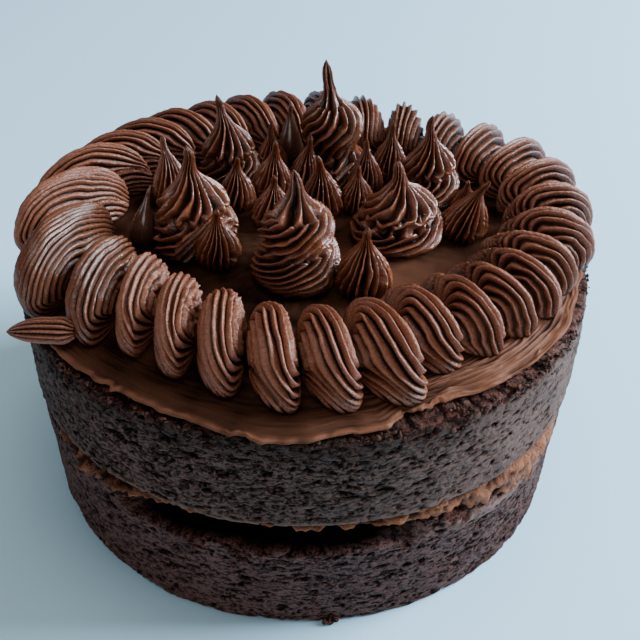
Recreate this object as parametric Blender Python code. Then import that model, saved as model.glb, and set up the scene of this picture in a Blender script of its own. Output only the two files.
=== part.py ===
"""Chocolate layer cake with a piped rope border and a crowd of piped rosettes and kisses on top.

Metres, +Z up. The origin is the centre of the base, so the cake stands on z = 0.
At azimuth 270 degrees is the front, where the rope leaves a strip of spread frosting bare.
"""

import math

import bmesh
import bpy
from mathutils import Vector, noise

MM = 0.001

# The two sponge layers, baked in a tin about 150 mm across
LOWER_BASE_RADIUS = 72.6 * MM
LOWER_TOP_RADIUS = 74.0 * MM
LOWER_HEIGHT = 33.0 * MM
LOWER_SHOULDER = 3.5 * MM
UPPER_BOTTOM = 37.7 * MM
UPPER_TOP = 65.4 * MM
UPPER_RADIUS = 75.0 * MM
UPPER_EDGE_ROUNDING = 2.2 * MM
SPONGE_UNEVENNESS = 0.55 * MM
SPONGE_LUMP = 9.0 * MM
SPONGE_SIDES = 56
# Where the lower layer's top edge broke off: azimuth and reach in degrees, then how far it is set back
BROKEN_EDGE = ((262, 42, -3.4 * MM),)
BROKEN_EDGE_STARTS = 25.5 * MM

# The filling between the layers and the frosting spread on top
GAP = 0.3 * MM
FILLING_RADIUS = 72.4 * MM
FILLING_UNEVENNESS = 1.2 * MM
# Where the filling was pressed out or stays back: azimuth and reach in degrees, then how far
FILLING_PUSH = ((222, 26, 1.6 * MM), (322, 32, 2.4 * MM), (268, 30, -1.6 * MM))
TOP_FROSTING_RADIUS = 74.6 * MM
TOP_FROSTING_UNEVENNESS = 1.3 * MM
TOP_FROSTING_THICKNESS = 1.7 * MM
TOP_LEVEL = UPPER_TOP + GAP + TOP_FROSTING_THICKNESS
SPREAD_SIDES = 72

# The rope border: at each azimuth in degrees, the middle radius of the rope, half its reach across
# the ring and its height, all in millimetres, and how far in degrees each coil slants to its outer end
RING = (
    (0, 65.5, 12.3, 13.5, 1),
    (12, 67.5, 12.0, 14.0, 2),
    (28, 67.0, 12.0, 14.5, 4),
    (42, 62.5, 11.5, 14.0, 6),
    (60, 60.0, 11.5, 13.5, 8),
    (120, 60.5, 11.5, 13.5, 10),
    (145, 62.0, 11.5, 14.0, 14),
    (165, 63.0, 12.8, 15.0, 19),
    (190, 62.0, 14.0, 15.5, 22),
    (210, 55.5, 13.5, 14.5, 22),
    (222, 51.2, 13.0, 14.5, 18),
    (249, 52.5, 13.5, 15.0, 11),
    (262, 54.5, 14.5, 15.0, 8),
    (287, 55.0, 15.0, 15.0, 5),
    (301, 51.5, 13.0, 14.0, 1),
    (323, 54.5, 13.0, 13.5, -2),
    (341, 58.5, 12.8, 13.5, -1),
)
# The azimuth in degrees of the middle of each coil, in the order in which the rope was piped
COIL_AZIMUTHS = (
    192.5, 210.3, 221.8, 234.4, 249.1, 262, 274.6, 287, 301.2, 312.7, 323.3, 332, 341, 353,
    365, 375.5, 386, 396.5, 408, 420, 432, 444, 455, 466, 476.5, 487, 497, 507, 518, 531,
)
COIL_RIDGES = 5
COIL_RIDGE_DEPTH = 1.2 * MM
COIL_FURROW_TOP = 0.62
COIL_FURROW_END = 0.48
COIL_STEPS = 7
SEAM_GAP = 0.45 * MM

# The star-shaped end where the rope was begun: root, tip and root radius in millimetres
TAIL_ROOT = (-58.2, -43.2)
TAIL_TIP = (-69.5, -42.5)
TAIL_RADIUS = 4.2
TAIL_RIDGES = 7

# The outline of each piped shape: radius as a share of the widest, against height as a share of the whole
TWO_TIERS = (
    (0.0, 0.86), (0.08, 1.0), (0.2, 0.98), (0.29, 0.82), (0.36, 0.8), (0.45, 0.78), (0.55, 0.6),
    (0.65, 0.38), (0.77, 0.2), (0.89, 0.09),
)
BARREL = (
    (0.0, 0.86), (0.08, 1.0), (0.2, 1.0), (0.32, 0.95), (0.42, 0.9), (0.52, 0.82), (0.6, 0.64),
    (0.68, 0.4), (0.78, 0.23), (0.9, 0.11),
)
BALL_ON_RING = (
    (0.0, 0.86), (0.07, 1.0), (0.17, 0.92), (0.25, 0.62), (0.35, 0.72), (0.47, 0.76), (0.59, 0.62),
    (0.7, 0.38), (0.8, 0.2), (0.9, 0.1),
)
KISS = ((0.0, 0.84), (0.12, 1.0), (0.3, 0.92), (0.48, 0.62), (0.66, 0.34), (0.84, 0.14))

# Piped shapes on top: name, centre of the base in x and y, radius, height, and how far the tip leans
# in x and y, all in millimetres, and the outline
ROSETTES = (
    ("rosette_front", -2.5, -16.4, 12.2, 30.5, 0, 0, BARREL),
    ("rosette_left", -30.0, -1.5, 12.0, 29.5, 0.5, -1.5, TWO_TIERS),
    ("rosette_right", 24.5, 2.0, 12.8, 23.0, -0.5, 0, TWO_TIERS),
    ("rosette_back_right", 34.2, 23.5, 9.3, 25.5, 0, 0, TWO_TIERS),
    ("rosette_back", 7.2, 36.0, 11.3, 36.0, -1.8, 0, BALL_ON_RING),
    ("rosette_back_left", -22.2, 30.8, 9.5, 27.0, -3.0, 1.0, TWO_TIERS),
)
KISSES = (
    ("kiss_front_left", -22.7, -10.3, 6.3, 16.0, 0, 0, KISS),
    ("kiss_front_right", 14.4, -22.2, 7.4, 18.7, 0, 0, KISS),
    ("kiss_right", 42.5, 4.3, 6.7, 16.8, 5.5, 0, KISS),
    ("kiss_01", -19.5, 18.0, 5.5, 15.5, 0, 0, KISS),
    ("kiss_02", -9.5, 23.0, 6.0, 18.0, 0.5, 0, KISS),
    ("kiss_03", -0.2, 27.0, 5.3, 17.5, 1.0, 1.0, KISS),
    ("kiss_04", 4.6, 15.5, 6.2, 17.5, -2.0, 0, KISS),
    ("kiss_05", -9.0, 9.5, 6.0, 14.5, 0, 0, KISS),
    ("kiss_06", 14.0, 17.0, 5.2, 13.5, 0, 0, KISS),
    ("kiss_07", 17.0, 27.0, 5.2, 16.5, -0.5, 0, KISS),
    ("kiss_08", 24.0, 33.5, 5.8, 18.0, 0.5, 1.0, KISS),
    ("kiss_09", -10.5, 35.5, 5.2, 17.0, 0, 0, KISS),
    ("kiss_10", -37.8, 20.8, 5.7, 18.0, -3.0, 4.5, KISS),
    ("kiss_11", 44.5, 16.5, 4.6, 9.5, 0, 0, KISS),
)
SMOOTH_PEAKS = (
    ("peak_back", -5.0, 43.0, 4.0, 20.0, 0, 0, KISS),
    ("peak_left", -43.2, -2.0, 3.7, 16.5, 3.0, 1.5, KISS),
)
ROSETTE_RIDGES = 11
KISS_RIDGES = 7
ROSETTE_TWIST = 1.6
KISS_TWIST = 0.35
ROSETTE_RIDGE_SHARE = 0.09
KISS_RIDGE_SHARE = 0.11
PRESS_REACH = 6.0

# Colours, roughness
SPONGE_COLOUR = (0.016, 0.009, 0.007, 1)
FROSTING_COLOUR = (0.07, 0.027, 0.016, 1)
FILLING_COLOUR = (0.085, 0.035, 0.02, 1)


def clear_scene():
    """Removes what a new file starts with."""
    for thing in list(bpy.data.objects):
        bpy.data.objects.remove(thing, do_unlink=True)


def material(name, colour, roughness):
    """A plain finish for one kind of piece."""
    finish = bpy.data.materials.new(name)
    finish.use_nodes = True
    shader = finish.node_tree.nodes["Principled BSDF"]
    shader.inputs["Base Color"].default_value = colour
    shader.inputs["Roughness"].default_value = roughness
    return finish


def add_piece(name, bm, finish):
    """Turns a closed bmesh into an object with its own mesh."""
    bmesh.ops.recalc_face_normals(bm, faces=bm.faces)
    bmesh.ops.triangulate(bm, faces=bm.faces)
    mesh = bpy.data.meshes.new(name)
    bm.to_mesh(mesh)
    bm.free()
    mesh.materials.append(finish)
    piece = bpy.data.objects.new(name, mesh)
    bpy.context.scene.collection.objects.link(piece)
    mesh.shade_smooth()
    mesh.set_sharp_from_angle(angle=math.radians(40))
    return piece


def stacked_rings(rings, tip=None):
    """A closed body through rings of points, flat underneath and closed by a flat top or by one tip."""
    bm = bmesh.new()
    rows = [[bm.verts.new(point) for point in ring] for ring in rings]
    count = len(rows[0])
    for low, high in zip(rows, rows[1:]):
        for i in range(count):
            j = (i + 1) % count
            bm.faces.new((low[i], low[j], high[j], high[i]))
    bm.faces.new(rows[0][::-1])
    if tip is None:
        bm.faces.new(rows[-1])
    else:
        point = bm.verts.new(tip)
        for i in range(count):
            bm.faces.new((rows[-1][i], rows[-1][(i + 1) % count], point))
    return bm


def crag(x, y, z, lump):
    """Smooth unevenness between about -1 and 1, with lumps of the given size."""
    return noise.noise(Vector((x, y, z)) / lump) * 1.6


def pushed(pushes, turn):
    """How far an edge is moved outwards at an angle, by even bulges round the azimuths given."""
    total = 0
    for azimuth, reach, far in pushes:
        away = abs((math.degrees(turn) - azimuth + 180) % 360 - 180)
        if away < reach:
            total += far * (1 + math.cos(math.pi * away / reach)) / 2
    return total


def round_layer(levels, sides, roughness, lump, pushes=(), push_starts=0):
    """A turned body given by (radius, height, share of the unevenness) from the bottom up."""
    rings = []
    for radius, z, share in levels:
        ring = []
        for i in range(sides):
            turn = math.tau * i / sides
            x = math.cos(turn)
            y = math.sin(turn)
            far = radius + roughness * share * crag(x * radius, y * radius, z, lump)
            if z > push_starts:
                far += pushed(pushes, turn)
            ring.append((x * far, y * far, z))
        rings.append(ring)
    return stacked_rings(rings)


def make_lower_sponge(finish):
    """The bottom layer: it widens a little upwards and has a rounded shoulder under the filling."""
    shoulder = LOWER_SHOULDER
    straight = LOWER_HEIGHT - shoulder
    levels = [(LOWER_BASE_RADIUS - 0.6 * MM, 0, 0.2)]
    steps = 3
    for i in range(steps + 1):
        share = i / steps
        radius = LOWER_BASE_RADIUS + (LOWER_TOP_RADIUS - LOWER_BASE_RADIUS) * share
        levels.append((radius, 1.0 * MM + (straight - 1.0 * MM) * share, 1))
    for angle in (40, 75):
        turn = math.radians(angle)
        radius = LOWER_TOP_RADIUS - shoulder * (1 - math.cos(turn))
        levels.append((radius, straight + shoulder * math.sin(turn), 1))
    levels.append((LOWER_TOP_RADIUS - shoulder - 1.5 * MM, LOWER_HEIGHT, 0.3))
    body = round_layer(
        levels, SPONGE_SIDES, SPONGE_UNEVENNESS, SPONGE_LUMP, BROKEN_EDGE, BROKEN_EDGE_STARTS
    )
    add_piece("lower_sponge", body, finish)


def make_upper_sponge(finish):
    """The top layer: straight sides and a smooth rounded lower edge, where it sat in the tin."""
    edge = UPPER_EDGE_ROUNDING
    levels = [(UPPER_RADIUS - edge * 1.2, UPPER_BOTTOM, 0.3)]
    for angle in (50, 15):
        turn = math.radians(angle)
        radius = UPPER_RADIUS - edge * (1 - math.cos(turn))
        levels.append((radius, UPPER_BOTTOM + edge * (1 - math.sin(turn)), 0.5))
    steps = 3
    for i in range(steps + 1):
        share = i / steps
        z = UPPER_BOTTOM + edge + (UPPER_TOP - 1.2 * MM - UPPER_BOTTOM - edge) * share
        levels.append((UPPER_RADIUS, z, 1))
    levels.append((UPPER_RADIUS - 1.0 * MM, UPPER_TOP, 0.6))
    add_piece("upper_sponge", round_layer(levels, SPONGE_SIDES, SPONGE_UNEVENNESS, SPONGE_LUMP), finish)


def make_spread(name, radius, unevenness, low, high, pushes, finish):
    """A thin spread layer with a torn, wavy edge."""
    middle = (low + high) / 2
    levels = (
        (radius - 0.8 * MM, low, 1),
        (radius, middle, 1),
        (radius - 0.7 * MM, high, 1),
    )
    add_piece(name, round_layer(levels, SPREAD_SIDES, unevenness, 7.0 * MM, pushes), finish)


def ring_at(azimuth):
    """Middle radius, half reach, height and slant of the border, smoothly between the stations given."""
    turn = azimuth % 360
    stations = [*RING, (RING[0][0] + 360, *RING[0][1:])]
    for before, after in zip(stations, stations[1:]):
        if before[0] <= turn <= after[0]:
            share = (turn - before[0]) / (after[0] - before[0])
            share = (1 - math.cos(math.pi * share)) / 2
            middle, reach, height, slant = [a + (b - a) * share for a, b in zip(before[1:], after[1:])]
            return middle * MM, reach * MM, height * MM, slant
    raise ValueError(azimuth)


def seam_azimuth(azimuth, radius):
    """Azimuth in radians of the seam between two coils at a radius, where its middle has the azimuth given."""
    middle, reach, _, slant = ring_at(azimuth)
    return math.radians(azimuth + slant * (radius - middle) / (2 * reach))


def make_coil(name, azimuth, seam_before, seam_after, finish):
    """One turn of the rope: it rises at the inner side, arches over and ends at the outer side.

    Seen along the ring it is a half disc whose radius swells from the furrow at each seam to the crest,
    with the star nozzle's ridges running along the rope.
    """
    middle, reach, height, _ = ring_at(azimuth)
    floor = TOP_LEVEL + GAP
    across = 2 * COIL_RIDGES
    bm = bmesh.new()
    rows = []
    for i in range(COIL_STEPS + 1):
        lift = math.pi * i / COIL_STEPS
        row = []
        for j in range(across + 1):
            side = -math.cos(math.pi * j / across)
            furrow = COIL_FURROW_END + (COIL_FURROW_TOP - COIL_FURROW_END) * math.sin(lift)
            swell = furrow + (1 - furrow) * math.sqrt(max(0, 1 - side * side))
            if j % 2:
                ridge = COIL_RIDGE_DEPTH / 2
            elif j in (0, across):
                ridge = 0
            else:
                ridge = -COIL_RIDGE_DEPTH / 2
            radius = middle - math.cos(lift) * (reach * swell + ridge)
            z = floor + max(0, math.sin(lift)) * (height * swell + ridge)
            left = seam_azimuth(seam_before, radius) + SEAM_GAP / 2 / radius
            right = seam_azimuth(seam_after, radius) - SEAM_GAP / 2 / radius
            turn = left + (right - left) * (side + 1) / 2
            if i in (0, COIL_STEPS):
                z = floor
            row.append(bm.verts.new((radius * math.cos(turn), radius * math.sin(turn), z)))
        rows.append(row)
    for low, high in zip(rows, rows[1:]):
        for j in range(across):
            bm.faces.new((low[j], low[j + 1], high[j + 1], high[j]))
    feet = []
    for j in (0, across):
        wall = [rows[0][j]]
        for row in rows[1:-1]:
            wall.append(bm.verts.new((row[j].co.x, row[j].co.y, floor)))
        wall.append(rows[-1][j])
        bm.faces.new((wall[0], rows[1][j], wall[1]))
        for i in range(1, COIL_STEPS - 1):
            bm.faces.new((wall[i], rows[i][j], rows[i + 1][j], wall[i + 1]))
        bm.faces.new((wall[-2], rows[-2][j], wall[-1]))
        feet.append(wall)
    outline = rows[0] + feet[1][1:-1] + rows[-1][::-1] + feet[0][-2:0:-1]
    bm.faces.new(outline)
    add_piece(name, bm, finish)


def make_border(finish):
    """All the turns of the rope, each its own piece, with a seam between each and the next."""
    count = len(COIL_AZIMUTHS)
    for i, azimuth in enumerate(COIL_AZIMUTHS):
        before = COIL_AZIMUTHS[i - 1] - (360 if i == 0 else 0)
        after = COIL_AZIMUTHS[(i + 1) % count] + (360 if i == count - 1 else 0)
        make_coil(f"border_coil_{i + 1:02d}", azimuth, (before + azimuth) / 2, (azimuth + after) / 2, finish)


def make_tail(finish):
    """The short star-shaped end of the rope, which sticks out over the rim at the front left."""
    root = Vector(TAIL_ROOT) * MM
    tip = Vector(TAIL_TIP) * MM
    along = (tip - root).normalized()
    side = Vector((-along.y, along.x))
    floor = TOP_LEVEL + GAP
    around = 2 * TAIL_RIDGES
    rings = []
    for share, swell in ((0, 0.8), (0.2, 1.0), (0.45, 0.9), (0.7, 0.6), (0.9, 0.25)):
        middle = root.lerp(tip, share)
        radius = TAIL_RADIUS * swell * MM
        ring = []
        for i in range(around):
            turn = math.tau * i / around
            far = radius * (1.0 if i % 2 else 0.8)
            x = middle.x + side.x * far * math.cos(turn)
            y = middle.y + side.y * far * math.cos(turn)
            ring.append((x, y, floor + radius + far * math.sin(turn)))
        rings.append(ring)
    end = (tip.x, tip.y, floor + TAIL_RADIUS * 0.3 * MM)
    add_piece("rope_tail", stacked_rings(rings, end), finish)


def keep_apart(x, y, own, others):
    """Moves a point back to its own side of the upright plane between two neighbouring piped shapes."""
    _, own_x, own_y, own_radius, *_ = own
    for _, other_x, other_y, other_radius, *_ in others:
        away = Vector((other_x - own_x, other_y - own_y)) * MM
        distance = away.length
        if distance > (own_radius + other_radius + PRESS_REACH) * MM:
            continue
        away.normalize()
        limit = distance * own_radius / (own_radius + other_radius) - GAP / 2
        reached = (x - own_x * MM) * away.x + (y - own_y * MM) * away.y
        if reached > limit:
            x -= (reached - limit) * away.x
            y -= (reached - limit) * away.y
    return x, y


def make_piped(shape, ridges, twist, ridge_share, others, finish):
    """A shape piped upright through a star nozzle: ridged, wound round its axis, pulled up to a tip."""
    name, x0, y0, radius, height, lean_x, lean_y, outline = shape
    floor = TOP_LEVEL + GAP
    around = 2 * ridges
    rings = []
    for share, width in outline:
        ring = []
        drift = share * share
        for i in range(around):
            turn = math.tau * i / around + twist * share
            ridge = ridge_share if i % 2 else -ridge_share
            far = radius * width * (1 + ridge) * MM
            x = (x0 + lean_x * drift) * MM + far * math.cos(turn)
            y = (y0 + lean_y * drift) * MM + far * math.sin(turn)
            x, y = keep_apart(x, y, shape, others)
            ring.append((x, y, floor + height * share * MM))
        rings.append(ring)
    x, y = keep_apart((x0 + lean_x) * MM, (y0 + lean_y) * MM, shape, others)
    add_piece(name, stacked_rings(rings, (x, y, floor + height * MM)), finish)


def make_toppings(finish):
    """The tall rosettes, the small kisses among them and two smooth peaks."""
    every = [*ROSETTES, *KISSES, *SMOOTH_PEAKS]
    for group, ridges, twist, ridge_share in (
        (ROSETTES, ROSETTE_RIDGES, ROSETTE_TWIST, ROSETTE_RIDGE_SHARE),
        (KISSES, KISS_RIDGES, KISS_TWIST, KISS_RIDGE_SHARE),
        (SMOOTH_PEAKS, KISS_RIDGES, 0, 0),
    ):
        for shape in group:
            others = [other for other in every if other is not shape]
            make_piped(shape, ridges, twist, ridge_share, others, finish)


clear_scene()
sponge = material("chocolate_sponge", SPONGE_COLOUR, 0.75)
frosting = material("piped_frosting", FROSTING_COLOUR, 0.4)
filling = material("frosting_filling", FILLING_COLOUR, 0.55)
make_lower_sponge(sponge)
make_spread(
    "filling", FILLING_RADIUS, FILLING_UNEVENNESS, LOWER_HEIGHT + GAP, UPPER_BOTTOM - GAP,
    FILLING_PUSH, filling,
)
make_upper_sponge(sponge)
make_spread(
    "top_frosting", TOP_FROSTING_RADIUS, TOP_FROSTING_UNEVENNESS, UPPER_TOP + GAP, TOP_LEVEL,
    (), frosting,
)
make_border(frosting)
make_tail(frosting)
make_toppings(frosting)
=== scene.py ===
import math
from collections import namedtuple

import bpy
import numpy as np
from mathutils import Matrix, Vector


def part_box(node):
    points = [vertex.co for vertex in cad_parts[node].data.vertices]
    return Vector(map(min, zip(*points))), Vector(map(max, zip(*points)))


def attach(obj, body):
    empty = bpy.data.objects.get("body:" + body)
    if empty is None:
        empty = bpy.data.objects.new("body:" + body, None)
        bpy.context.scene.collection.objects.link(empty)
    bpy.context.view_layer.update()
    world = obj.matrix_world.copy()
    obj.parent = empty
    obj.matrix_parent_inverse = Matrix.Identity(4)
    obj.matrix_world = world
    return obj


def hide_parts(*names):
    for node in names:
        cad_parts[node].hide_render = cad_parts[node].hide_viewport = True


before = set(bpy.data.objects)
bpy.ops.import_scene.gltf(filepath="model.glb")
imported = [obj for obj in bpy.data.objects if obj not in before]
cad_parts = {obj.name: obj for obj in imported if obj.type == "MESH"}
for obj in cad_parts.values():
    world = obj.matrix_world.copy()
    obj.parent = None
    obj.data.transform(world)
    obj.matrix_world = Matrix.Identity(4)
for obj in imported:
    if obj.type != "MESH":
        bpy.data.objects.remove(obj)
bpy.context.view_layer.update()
bpy.ops.object.select_all(action="DESELECT")

# Lower sponge: a chocolate layer baked in a round tin, its side full of small flat holes where the
# crumb pulled away from the wall. It is turned from its outline, then pitted, and its top edge sinks
# at the front, where the crust broke off under the filling.
# Lengths are in mm and azimuths in degrees, from 0 at the right to 270 at the front.
MM = 0.001
BODY = "root"
SPONGE_STEPS = 960
ROW = 0.42
LOWER_BASE_RADIUS = 72.6
LOWER_TOP_RADIUS = 74
LOWER_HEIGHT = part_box("lower_sponge")[1].z / MM
LOWER_SHOULDER = 3.5
RELIEF_STEP = 0.25
# Number, half width, half height and depth of the holes, from the large ones to the small
LOWER_HOLES = ((150, 1.9, 0.6, 0.9), (800, 1.1, 0.45, 0.7), (2200, 0.6, 0.34, 0.5))
# How far the crumb's grain stands out between the holes
GRAIN_RELIEF = 0.2
LOWER_LIGHT = "#784c43"
LOWER_DARK = "#20110f"
LOWER_FILM_SHEEN = "#8a6a5e"
# Near-black painted shade for the holes and recesses in the crumb
PAINTED_SHADE_COLOUR = "#050202"
BROKEN_DARK = "#1c0b07"
BROKEN_LIGHT = "#844a38"


def linear(colour):
    """An sRGB hex value as the linear colour that a shader takes."""
    parts = [int(colour[i:i + 2], 16) / 255 for i in (1, 3, 5)]
    return [*(p / 12.92 if p <= 0.04045 else ((p + 0.055) / 1.055) ** 2.4 for p in parts), 1]


def add_node(tree, kind, settings, links, output=0):
    """Adds a shader node with its properties, inputs, ramp stops and links, and gives an output of it."""
    node = tree.nodes.new("ShaderNode" + kind)
    for name, value in settings.items():
        if name == "stops":
            ramp = node.color_ramp.elements
            while len(ramp) < len(value):
                ramp.new(0.5)
            for stop, (position, colour) in zip(ramp, value):
                stop.position = position
                stop.color = linear(colour)
        elif isinstance(name, str) and hasattr(node, name):
            setattr(node, name, value)
        else:
            node.inputs[name].default_value = value
    for name, source in links.items():
        tree.links.new(source, node.inputs[name])
    return node.outputs[output] if node.outputs else None


def new_finish(name):
    """An empty node material, and the tree to fill."""
    finish = bpy.data.materials.new(name)
    finish.use_nodes = True
    finish.node_tree.nodes.clear()
    return finish, finish.node_tree


def leave_closed(threshold):
    """Merges doubled points, turns every face outwards and ends the editing of a closed piece."""
    bpy.ops.mesh.select_all(action="SELECT")
    bpy.ops.mesh.remove_doubles(threshold=threshold)
    bpy.ops.mesh.normals_make_consistent(inside=False)
    bpy.ops.object.mode_set(mode="OBJECT")


def turned(name, outline, steps):
    """Draws an outline of (radius, height) points from pole to pole and spins it upright."""
    bpy.ops.mesh.primitive_plane_add(size=MM, location=(0, 0, 0))
    piece = bpy.context.object
    piece.name = name
    bpy.ops.object.mode_set(mode="EDIT")
    bpy.ops.mesh.merge(type="CENTER")
    bpy.ops.transform.translate(value=(outline[0][0] * MM, 0, outline[0][1] * MM))
    for (radius, z), (next_radius, next_z) in zip(outline, outline[1:]):
        step = ((next_radius - radius) * MM, 0, (next_z - z) * MM)
        bpy.ops.mesh.extrude_vertices_move(TRANSFORM_OT_translate={"value": step})
    bpy.ops.object.mode_set(mode="OBJECT")
    screw = piece.modifiers.new("turn", "SCREW")
    screw.steps = screw.render_steps = steps
    screw.use_merge_vertices = True
    screw.merge_threshold = 0.001 * MM
    bpy.ops.object.modifier_apply(modifier="turn")
    bpy.ops.object.mode_set(mode="EDIT")
    leave_closed(0.001 * MM)
    return piece


def points_of(piece):
    """The piece's points in mm, one row each."""
    flat = np.empty(len(piece.data.vertices) * 3)
    piece.data.vertices.foreach_get("co", flat)
    return flat.reshape(-1, 3) / MM


def put_points(piece, points):
    """Moves the piece's points to the given places in mm."""
    piece.data.vertices.foreach_set("co", (points * MM).ravel())
    piece.data.update()


def round_places(points):
    """Azimuth and distance from the cake's middle, for each point."""
    azimuth = np.degrees(np.arctan2(points[:, 1], points[:, 0])) % 360
    return azimuth, np.hypot(points[:, 0], points[:, 1])


def rays(azimuth):
    """Level arrows 1 mm long that point away from the middle at each azimuth."""
    turn = np.radians(azimuth)
    return np.column_stack((np.cos(turn), np.sin(turn), 0 * turn))


def write_share(piece, name, values):
    """Keeps one number for each point, which the material reads by name."""
    layer = piece.data.attributes.new(name, "FLOAT", "POINT")
    layer.data.foreach_set("value", np.asarray(values, dtype=np.float32))


def lumps(points, size, seed=0):
    """Smooth noise from about -1 to 1 in space, with lumps of the given size."""
    at = points / size + 31.7 * seed + 100
    cell = np.floor(at).astype(np.int64)
    part = at - cell
    part = part * part * (3 - 2 * part)
    total = np.zeros(len(points))
    for corner in np.ndindex(2, 2, 2):
        mixed = (cell + corner) @ np.array([73856093, 19349663, 83492791])
        mixed = ((mixed ^ (mixed >> 13)) * 1274126177) & 0x7FFFFFFF
        value = ((mixed ^ (mixed >> 15)) & 0xFFFF) / 32767.5 - 1
        weight = np.prod(np.where(corner, part, 1 - part), axis=1)
        total += value * weight
    return total


def smooth(low, high, value):
    """0 below low, 1 above high, and an even S between."""
    share = np.clip((value - low) / (high - low), 0, 1)
    return share * share * (3 - 2 * share)


def near(azimuth, middle, reach):
    """1 at an azimuth, falling to 0 at the reach on both sides."""
    away = np.abs((azimuth - middle + 180) % 360 - 180)
    return 1 - smooth(0, reach, away)


def pitted(around, up, holes, draw):
    """A strip of relief, so long around and so high up, with slanting oval holes."""
    columns = int(around / RELIEF_STEP)
    rows = int(up / RELIEF_STEP)
    relief = np.zeros((rows, columns))
    for count, width, height, depth in holes:
        for _ in range(count):
            wide = width * draw.uniform(0.5, 1.6)
            tall = height * draw.uniform(0.6, 1.4)
            deep = depth * draw.uniform(0.5, 1.2)
            tilt = draw.uniform(-0.25, 0.25)
            x = draw.uniform(0, around)
            z = draw.uniform(0, up)
            reach_x = int(wide / RELIEF_STEP) + 2
            reach_z = int((tall + wide * 0.3) / RELIEF_STEP) + 2
            i = np.arange(int(x / RELIEF_STEP) - reach_x, int(x / RELIEF_STEP) + reach_x + 1)
            j = np.arange(int(z / RELIEF_STEP) - reach_z, int(z / RELIEF_STEP) + reach_z + 1)
            j = j[(j >= 0) & (j < rows)]
            across, along = np.meshgrid(i * RELIEF_STEP - x, j * RELIEF_STEP - z)
            far = (across / wide) ** 2 + ((along - tilt * across) / tall) ** 2
            hole = deep * np.clip(1.9 * (1 - far), 0, 1)
            patch = np.ix_(j, i % columns)
            relief[patch] = np.maximum(relief[patch], hole)
    return relief


def relief_at(relief, around, x, z):
    """The relief at places along and up the strip, evenly between its cells."""
    rows, columns = relief.shape
    u = x / around * columns
    v = np.clip(z / RELIEF_STEP, 0, rows - 1.001)
    i = np.floor(u).astype(int)
    j = np.floor(v).astype(int)
    right = u - i
    up = v - j
    low = relief[j, i % columns] * (1 - right) + relief[j, (i + 1) % columns] * right
    high = relief[j + 1, i % columns] * (1 - right) + relief[j + 1, (i + 1) % columns] * right
    return low * (1 - up) + high * up


def settle(piece, finish, slot, *nodes):
    """Gives a finished piece its material and lets it stand for its nodes; the slot is not used."""
    piece.data.materials.clear()
    piece.data.materials.append(finish)
    piece.data.shade_smooth()
    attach(piece, BODY)
    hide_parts(*nodes)


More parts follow.
